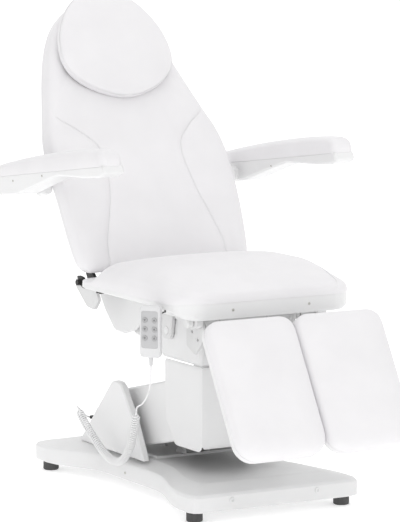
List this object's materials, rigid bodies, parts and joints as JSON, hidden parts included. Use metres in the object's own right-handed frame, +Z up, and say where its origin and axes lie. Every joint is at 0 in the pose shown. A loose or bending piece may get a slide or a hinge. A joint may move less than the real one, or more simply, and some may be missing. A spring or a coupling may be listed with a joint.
{
  "type": "treatment chair",
  "caption": "Electric treatment chair: cushioned seat, curved reclining back with pillow, folding arms and split leg rests on a parallelogram lift base, with a corded handset.",
  "frame": {"origin": "on the floor at the centre of the box of the whole chair without its cord", "axes": "+Z up, -Y towards the leg rests (the way the sitter faces), +X to the sitter's left"},
  "size_m": [0.848, 1.4694, 1.4581],
  "materials": {
    "upholstery": "white artificial leather over foam, satin",
    "shell": "white moulded plastic",
    "cover": "white moulded plastic, fine grain",
    "bracket_white": "white powder coat on steel",
    "dark_steel": "dark powder coat",
    "steel": "zinc plated",
    "rubber": "dark rubber",
    "handset_body": "light grey plastic",
    "handset_panel": "grey membrane",
    "button": "grey soft keys",
    "cord": "grey cable jacket",
    "knob": "white plastic cap",
    "control": "dark plastic housing"
  },
  "bodies": {
    "base": {"base_cover": "cover", "base_frame": "steel", "foot_front_left": "rubber", "foot_front_right": "rubber", "foot_rear_left": "rubber", "foot_rear_right": "rubber", "cheek_left": "cover", "cheek_right": "cover", "control_box": "control", "cord_plug": "rubber", "cord_tail": "cord", "cord_coil": "cord", "cord_lead": "cord"},
    "lift_arm": {"lift_arm_frame": "steel", "lift_arm_cover": "cover"},
    "link": {"lift_link": "dark_steel"},
    "column": {"column_frame": "steel", "column_cover": "cover", "column_head": "cover"},
    "actuator": {"lift_actuator_body": "dark_steel"},
    "actuator_rod": {"lift_actuator_rod": "steel"},
    "seat": {"seat_frame": "dark_steel", "seat_tray": "shell", "seat_cushion": "upholstery", "seat_skirt": "shell", "handset_hook": "dark_steel"},
    "back": {"back_frame": "dark_steel", "back_shell": "shell", "back_cushion": "upholstery", "arm_left_bracket": "shell", "arm_right_bracket": "shell"},
    "head": {"head_plate": "steel", "head_cushion": "upholstery"},
    "arm_left": {"arm_left_shell": "shell", "arm_left_pad": "upholstery"},
    "arm_right": {"arm_right_shell": "shell", "arm_right_pad": "upholstery"},
    "leg_left": {"leg_left_carrier": "bracket_white"},
    "leg_right": {"leg_right_carrier": "bracket_white"},
    "leg_left_pad": {"leg_left_shell": "shell", "leg_left_cushion": "upholstery"},
    "leg_right_pad": {"leg_right_shell": "shell", "leg_right_cushion": "upholstery"},
    "leg_left_knob": {"leg_left_knob": "knob"},
    "leg_right_knob": {"leg_right_knob": "knob"},
    "handset": {"handset_case": "handset_body", "handset_panel": "handset_panel"},
    "button_1": {"button_1": "button"},
    "button_2": {"button_2": "button"},
    "button_3": {"button_3": "button"},
    "button_4": {"button_4": "button"},
    "button_5": {"button_5": "button"},
    "button_6": {"button_6": "button"}
  },
  "joints": [
    {"name": "lift", "type": "hinge", "parent": "base", "child": "lift_arm", "pos_m": [0, 0.1733, 0.2], "axis": [-1, 0, 0], "range_deg": [-7, 38], "deforming": ["cord_lead", "cord_coil"]},
    {"name": "column_level", "type": "hinge", "parent": "lift_arm", "child": "column", "pos_m": [0, -0.1367, 0.2744], "axis": [-1, 0, 0], "range_deg": [-40, 9]},
    {"name": "link_swing", "type": "hinge", "parent": "base", "child": "link", "pos_m": [0, 0.2078, 0.2609], "axis": [-1, 0, 0], "range_deg": [-9, 40]},
    {"name": "actuator_swing", "type": "hinge", "parent": "base", "child": "actuator", "pos_m": [0, 0.0533, 0.135], "axis": [-1, 0, 0], "range_deg": [-12, 48]},
    {"name": "actuator_stroke", "type": "slide", "parent": "actuator", "child": "actuator_rod", "axis": [0, -0.9171, 0.3987], "range_m": [-0.012, 0.058]},
    {"name": "seat_tilt", "type": "hinge", "parent": "column", "child": "seat", "pos_m": [0, -0.0867, 0.505], "axis": [-1, 0, 0], "range_deg": [0, 10]},
    {"name": "back_recline", "type": "hinge", "parent": "seat", "child": "back", "pos_m": [0, 0.2633, 0.612], "axis": [-1, 0, 0], "range_deg": [-5, 60]},
    {"name": "head_height", "type": "slide", "parent": "back", "child": "head", "axis": [0, 0.5299, 0.848], "range_m": [0, 0.06]},
    {"name": "arm_left_fold", "type": "hinge", "parent": "back", "child": "arm_left", "pos_m": [0.389, 0.4133, 0.893], "axis": [-1, 0, 0], "range_deg": [0, 80]},
    {"name": "arm_right_fold", "type": "hinge", "parent": "back", "child": "arm_right", "pos_m": [-0.389, 0.4133, 0.893], "axis": [-1, 0, 0], "range_deg": [0, 80]},
    {"name": "leg_left_swing", "type": "hinge", "parent": "seat", "child": "leg_left", "pos_m": [0.146, -0.3117, 0.56], "axis": [-1, 0, 0], "range_deg": [0, 51]},
    {"name": "leg_right_swing", "type": "hinge", "parent": "seat", "child": "leg_right", "pos_m": [-0.146, -0.3117, 0.56], "axis": [-1, 0, 0], "range_deg": [0, 51]},
    {"name": "leg_left_extend", "type": "slide", "parent": "leg_left", "child": "leg_left_pad", "axis": [0, -0.5075, -0.8616], "range_m": [0, 0.08]},
    {"name": "leg_right_extend", "type": "slide", "parent": "leg_right", "child": "leg_right_pad", "axis": [0, -0.5075, -0.8616], "range_m": [0, 0.08]},
    {"name": "leg_left_knob_turn", "type": "hinge", "parent": "seat", "child": "leg_left_knob", "pos_m": [0.2128, -0.3117, 0.56], "axis": [1, 0, 0], "range_deg": [0, 180]},
    {"name": "leg_right_knob_turn", "type": "hinge", "parent": "seat", "child": "leg_right_knob", "pos_m": [-0.2128, -0.3117, 0.56], "axis": [1, 0, 0], "range_deg": [0, 180]},
    {"name": "handset_lift_off", "type": "slide", "parent": "seat", "child": "handset", "axis": [0, 0, 1], "range_m": [0, 0.03]},
    {"name": "button_1_press", "type": "slide", "parent": "handset", "child": "button_1", "axis": [0.766, 0.6428, 0], "range_m": [0, 0.0009], "stiffness_N_per_m": 600, "springref_m": -0.0004},
    {"name": "button_2_press", "type": "slide", "parent": "handset", "child": "button_2", "axis": [0.766, 0.6428, 0], "range_m": [0, 0.0009], "stiffness_N_per_m": 600, "springref_m": -0.0004},
    {"name": "button_3_press", "type": "slide", "parent": "handset", "child": "button_3", "axis": [0.766, 0.6428, 0], "range_m": [0, 0.0009], "stiffness_N_per_m": 600, "springref_m": -0.0004},
    {"name": "button_4_press", "type": "slide", "parent": "handset", "child": "button_4", "axis": [0.766, 0.6428, 0], "range_m": [0, 0.0009], "stiffness_N_per_m": 600, "springref_m": -0.0004},
    {"name": "button_5_press", "type": "slide", "parent": "handset", "child": "button_5", "axis": [0.766, 0.6428, 0], "range_m": [0, 0.0009], "stiffness_N_per_m": 600, "springref_m": -0.0004},
    {"name": "button_6_press", "type": "slide", "parent": "handset", "child": "button_6", "axis": [0.766, 0.6428, 0], "range_m": [0, 0.0009], "stiffness_N_per_m": 600, "springref_m": -0.0004}
  ],
  "couplings": [
    {"joint": "column_level", "follows": "lift", "ratio": -1},
    {"joint": "link_swing", "follows": "lift", "ratio": 1},
    {"joint": "actuator_swing", "follows": "lift", "ratio": 1.155},
    {"joint": "actuator_stroke", "follows": "lift", "m_per_rad": 0.07}
  ]
}
